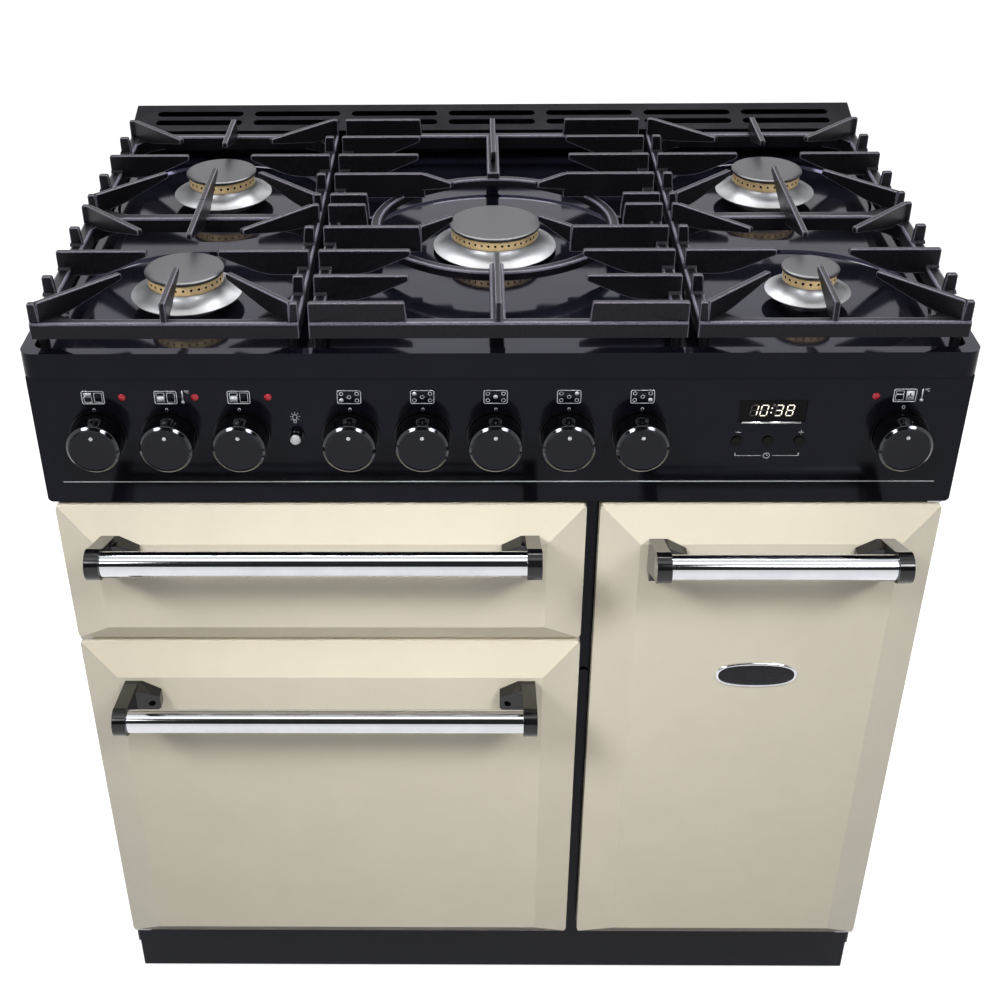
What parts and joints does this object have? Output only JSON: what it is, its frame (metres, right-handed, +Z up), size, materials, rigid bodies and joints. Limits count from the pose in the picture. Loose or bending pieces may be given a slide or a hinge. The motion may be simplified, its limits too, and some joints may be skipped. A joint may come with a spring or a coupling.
{
  "type": "range cooker",
  "caption": "Free-standing range cooker: gas hob with lift-off pan supports, turning knobs, glide-out grill, side-hinged oven doors with bar handles.",
  "frame": {"origin": "middle of the bounding box, on the floor that the feet stand on", "axes": "+X to the right as seen from the front, +Y towards the back, +Z up"},
  "size_m": [0.905, 0.6974, 0.951],
  "materials": {
    "cream_enamel": "gloss vitreous enamel, cream",
    "black_enamel": "gloss vitreous enamel, black",
    "case_paint": "black painted sheet",
    "liner_enamel": "dark grey vitreous enamel",
    "cast_iron": "matt enamelled, slightly speckled",
    "handle_chrome": "polished tube with gloss black cast ends",
    "burner_alloy": "satin",
    "burner_brass": "satin",
    "cap_enamel": "matt black enamel",
    "ceramic": "glazed ceramic",
    "knob_black": "gloss black with a small silver dot",
    "bright_steel": "bright zinc plated",
    "polished_steel": "polished",
    "brass_fitting": "plain",
    "red_lens": "translucent red",
    "clock_glass": "black glass with white figures",
    "element_sheath": "dark oxidised",
    "seal_fibre": "woven glass fibre",
    "door_core": "grey enamelled inner pan over insulation",
    "foot_rubber": "black",
    "switch_body": "moulded, off-white"
  },
  "bodies": {
    "cooker": {"casing_panels": "case_paint", "base_tray": "bright_steel", "face_frame": "black_enamel", "plinth": "black_enamel", "feet": "foot_rubber", "hob_top": "black_enamel", "rear_vent": "black_enamel", "control_panel": "black_enamel", "knob_bezels": "knob_black", "indicator_lamps": "red_lens", "clock_module": "clock_glass", "switch_bodies": "switch_body", "gas_taps": "brass_fitting", "gas_pipework": "bright_steel", "burner_bodies": "burner_alloy", "burner_rings": "burner_brass", "burner_caps": "cap_enamel", "spark_electrodes": "ceramic", "grill_compartment": "liner_enamel", "left_oven_liner": "liner_enamel", "right_oven_liner": "liner_enamel", "fan_baffles": "liner_enamel", "fan_motors": "bright_steel", "oven_shelves": "polished_steel", "heating_elements": "element_sheath", "door_seals": "seal_fibre", "door_hinges": "bright_steel"},
    "pan_support_left": {"pan_support_left": "cast_iron"},
    "pan_support_middle": {"pan_support_middle": "cast_iron"},
    "pan_support_right": {"pan_support_right": "cast_iron"},
    "grill": {"grill_front": "cream_enamel", "grill_handle": "handle_chrome", "grill_carriage": "door_core", "grill_pan": "liner_enamel"},
    "left_door": {"left_door_front": "cream_enamel", "left_door_liner": "door_core", "left_door_handle": "handle_chrome"},
    "right_door": {"right_door_front": "cream_enamel", "right_door_liner": "door_core", "right_door_handle": "handle_chrome"},
    "left_oven_fan": {"left_oven_fan": "bright_steel"},
    "right_oven_fan": {"right_oven_fan": "bright_steel"},
    "grill_knob": {"grill_knob": "knob_black"},
    "left_heat_knob": {"left_heat_knob": "knob_black"},
    "left_mode_knob": {"left_mode_knob": "knob_black"},
    "right_heat_knob": {"right_heat_knob": "knob_black"},
    "front_left_spindle": {"front_left_spindle": "bright_steel"},
    "front_left_knob": {"front_left_knob": "knob_black"},
    "back_left_spindle": {"back_left_spindle": "bright_steel"},
    "back_left_knob": {"back_left_knob": "knob_black"},
    "middle_spindle": {"middle_spindle": "bright_steel"},
    "middle_knob": {"middle_knob": "knob_black"},
    "back_right_spindle": {"back_right_spindle": "bright_steel"},
    "back_right_knob": {"back_right_knob": "knob_black"},
    "front_right_spindle": {"front_right_spindle": "bright_steel"},
    "front_right_knob": {"front_right_knob": "knob_black"},
    "light_button": {"light_button": "polished_steel"},
    "minus_button": {"minus_button": "knob_black"},
    "mode_button": {"mode_button": "knob_black"},
    "plus_button": {"plus_button": "knob_black"}
  },
  "joints": [
    {"name": "lift_left_pan_support", "type": "slide", "parent": "cooker", "child": "pan_support_left", "axis": [0, 0, 1], "range_m": [0, 0.1]},
    {"name": "lift_middle_pan_support", "type": "slide", "parent": "cooker", "child": "pan_support_middle", "axis": [0, 0, 1], "range_m": [0, 0.1]},
    {"name": "lift_right_pan_support", "type": "slide", "parent": "cooker", "child": "pan_support_right", "axis": [0, 0, 1], "range_m": [0, 0.1]},
    {"name": "grill_slide", "type": "slide", "parent": "cooker", "child": "grill", "axis": [0, -1, 0], "range_m": [0, 0.31]},
    {"name": "left_door_hinge", "type": "hinge", "parent": "cooker", "child": "left_door", "pos_m": [-0.437, -0.24325, 0.33], "axis": [0, 0, -1], "range_deg": [0, 100]},
    {"name": "right_door_hinge", "type": "hinge", "parent": "cooker", "child": "right_door", "pos_m": [0.437, -0.24325, 0.42], "axis": [0, 0, 1], "range_deg": [0, 100]},
    {"name": "left_fan_spin", "type": "hinge", "parent": "cooker", "child": "left_oven_fan", "pos_m": [-0.17613, 0.16675, 0.33275], "axis": [0, 1, 0], "continuous": true},
    {"name": "right_fan_spin", "type": "hinge", "parent": "cooker", "child": "right_oven_fan", "pos_m": [0.27363, 0.16675, 0.48555], "axis": [0, 1, 0], "continuous": true},
    {"name": "grill_knob_turn", "type": "hinge", "parent": "cooker", "child": "grill_knob", "pos_m": [-0.3885, -0.25125, 0.815], "axis": [0, 1, 0], "range_deg": [0, 270]},
    {"name": "left_heat_knob_turn", "type": "hinge", "parent": "cooker", "child": "left_heat_knob", "pos_m": [-0.3183, -0.25125, 0.815], "axis": [0, 1, 0], "range_deg": [0, 280]},
    {"name": "left_mode_knob_turn", "type": "hinge", "parent": "cooker", "child": "left_mode_knob", "pos_m": [-0.2481, -0.25125, 0.815], "axis": [0, 1, 0], "range_deg": [0, 315]},
    {"name": "right_heat_knob_turn", "type": "hinge", "parent": "cooker", "child": "right_heat_knob", "pos_m": [0.3885, -0.25125, 0.815], "axis": [0, 1, 0], "range_deg": [0, 280]},
    {"name": "front_left_push", "type": "slide", "parent": "cooker", "child": "front_left_spindle", "axis": [0, 1, 0], "range_m": [0, 0.003], "stiffness_N_per_m": 500, "springref_m": -0.004},
    {"name": "front_left_turn", "type": "hinge", "parent": "front_left_spindle", "child": "front_left_knob", "pos_m": [-0.1424, -0.25125, 0.815], "axis": [0, -1, 0], "range_deg": [0, 210]},
    {"name": "back_left_push", "type": "slide", "parent": "cooker", "child": "back_left_spindle", "axis": [0, 1, 0], "range_m": [0, 0.003], "stiffness_N_per_m": 500, "springref_m": -0.004},
    {"name": "back_left_turn", "type": "hinge", "parent": "back_left_spindle", "child": "back_left_knob", "pos_m": [-0.0722, -0.25125, 0.815], "axis": [0, -1, 0], "range_deg": [0, 210]},
    {"name": "middle_push", "type": "slide", "parent": "cooker", "child": "middle_spindle", "axis": [0, 1, 0], "range_m": [0, 0.003], "stiffness_N_per_m": 500, "springref_m": -0.004},
    {"name": "middle_turn", "type": "hinge", "parent": "middle_spindle", "child": "middle_knob", "pos_m": [-0.002, -0.25125, 0.815], "axis": [0, -1, 0], "range_deg": [0, 210]},
    {"name": "back_right_push", "type": "slide", "parent": "cooker", "child": "back_right_spindle", "axis": [0, 1, 0], "range_m": [0, 0.003], "stiffness_N_per_m": 500, "springref_m": -0.004},
    {"name": "back_right_turn", "type": "hinge", "parent": "back_right_spindle", "child": "back_right_knob", "pos_m": [0.0682, -0.25125, 0.815], "axis": [0, -1, 0], "range_deg": [0, 210]},
    {"name": "front_right_push", "type": "slide", "parent": "cooker", "child": "front_right_spindle", "axis": [0, 1, 0], "range_m": [0, 0.003], "stiffness_N_per_m": 500, "springref_m": -0.004},
    {"name": "front_right_turn", "type": "hinge", "parent": "front_right_spindle", "child": "front_right_knob", "pos_m": [0.1384, -0.25125, 0.815], "axis": [0, -1, 0], "range_deg": [0, 210]},
    {"name": "light_push", "type": "slide", "parent": "cooker", "child": "light_button", "axis": [0, 1, 0], "range_m": [0, 0.003], "stiffness_N_per_m": 300, "springref_m": -0.003},
    {"name": "minus_push", "type": "slide", "parent": "cooker", "child": "minus_button", "axis": [0, 1, 0], "range_m": [0, 0.001], "stiffness_N_per_m": 300, "springref_m": -0.002},
    {"name": "mode_push", "type": "slide", "parent": "cooker", "child": "mode_button", "axis": [0, 1, 0], "range_m": [0, 0.001], "stiffness_N_per_m": 300, "springref_m": -0.002},
    {"name": "plus_push", "type": "slide", "parent": "cooker", "child": "plus_button", "axis": [0, 1, 0], "range_m": [0, 0.001], "stiffness_N_per_m": 300, "springref_m": -0.002}
  ]
}
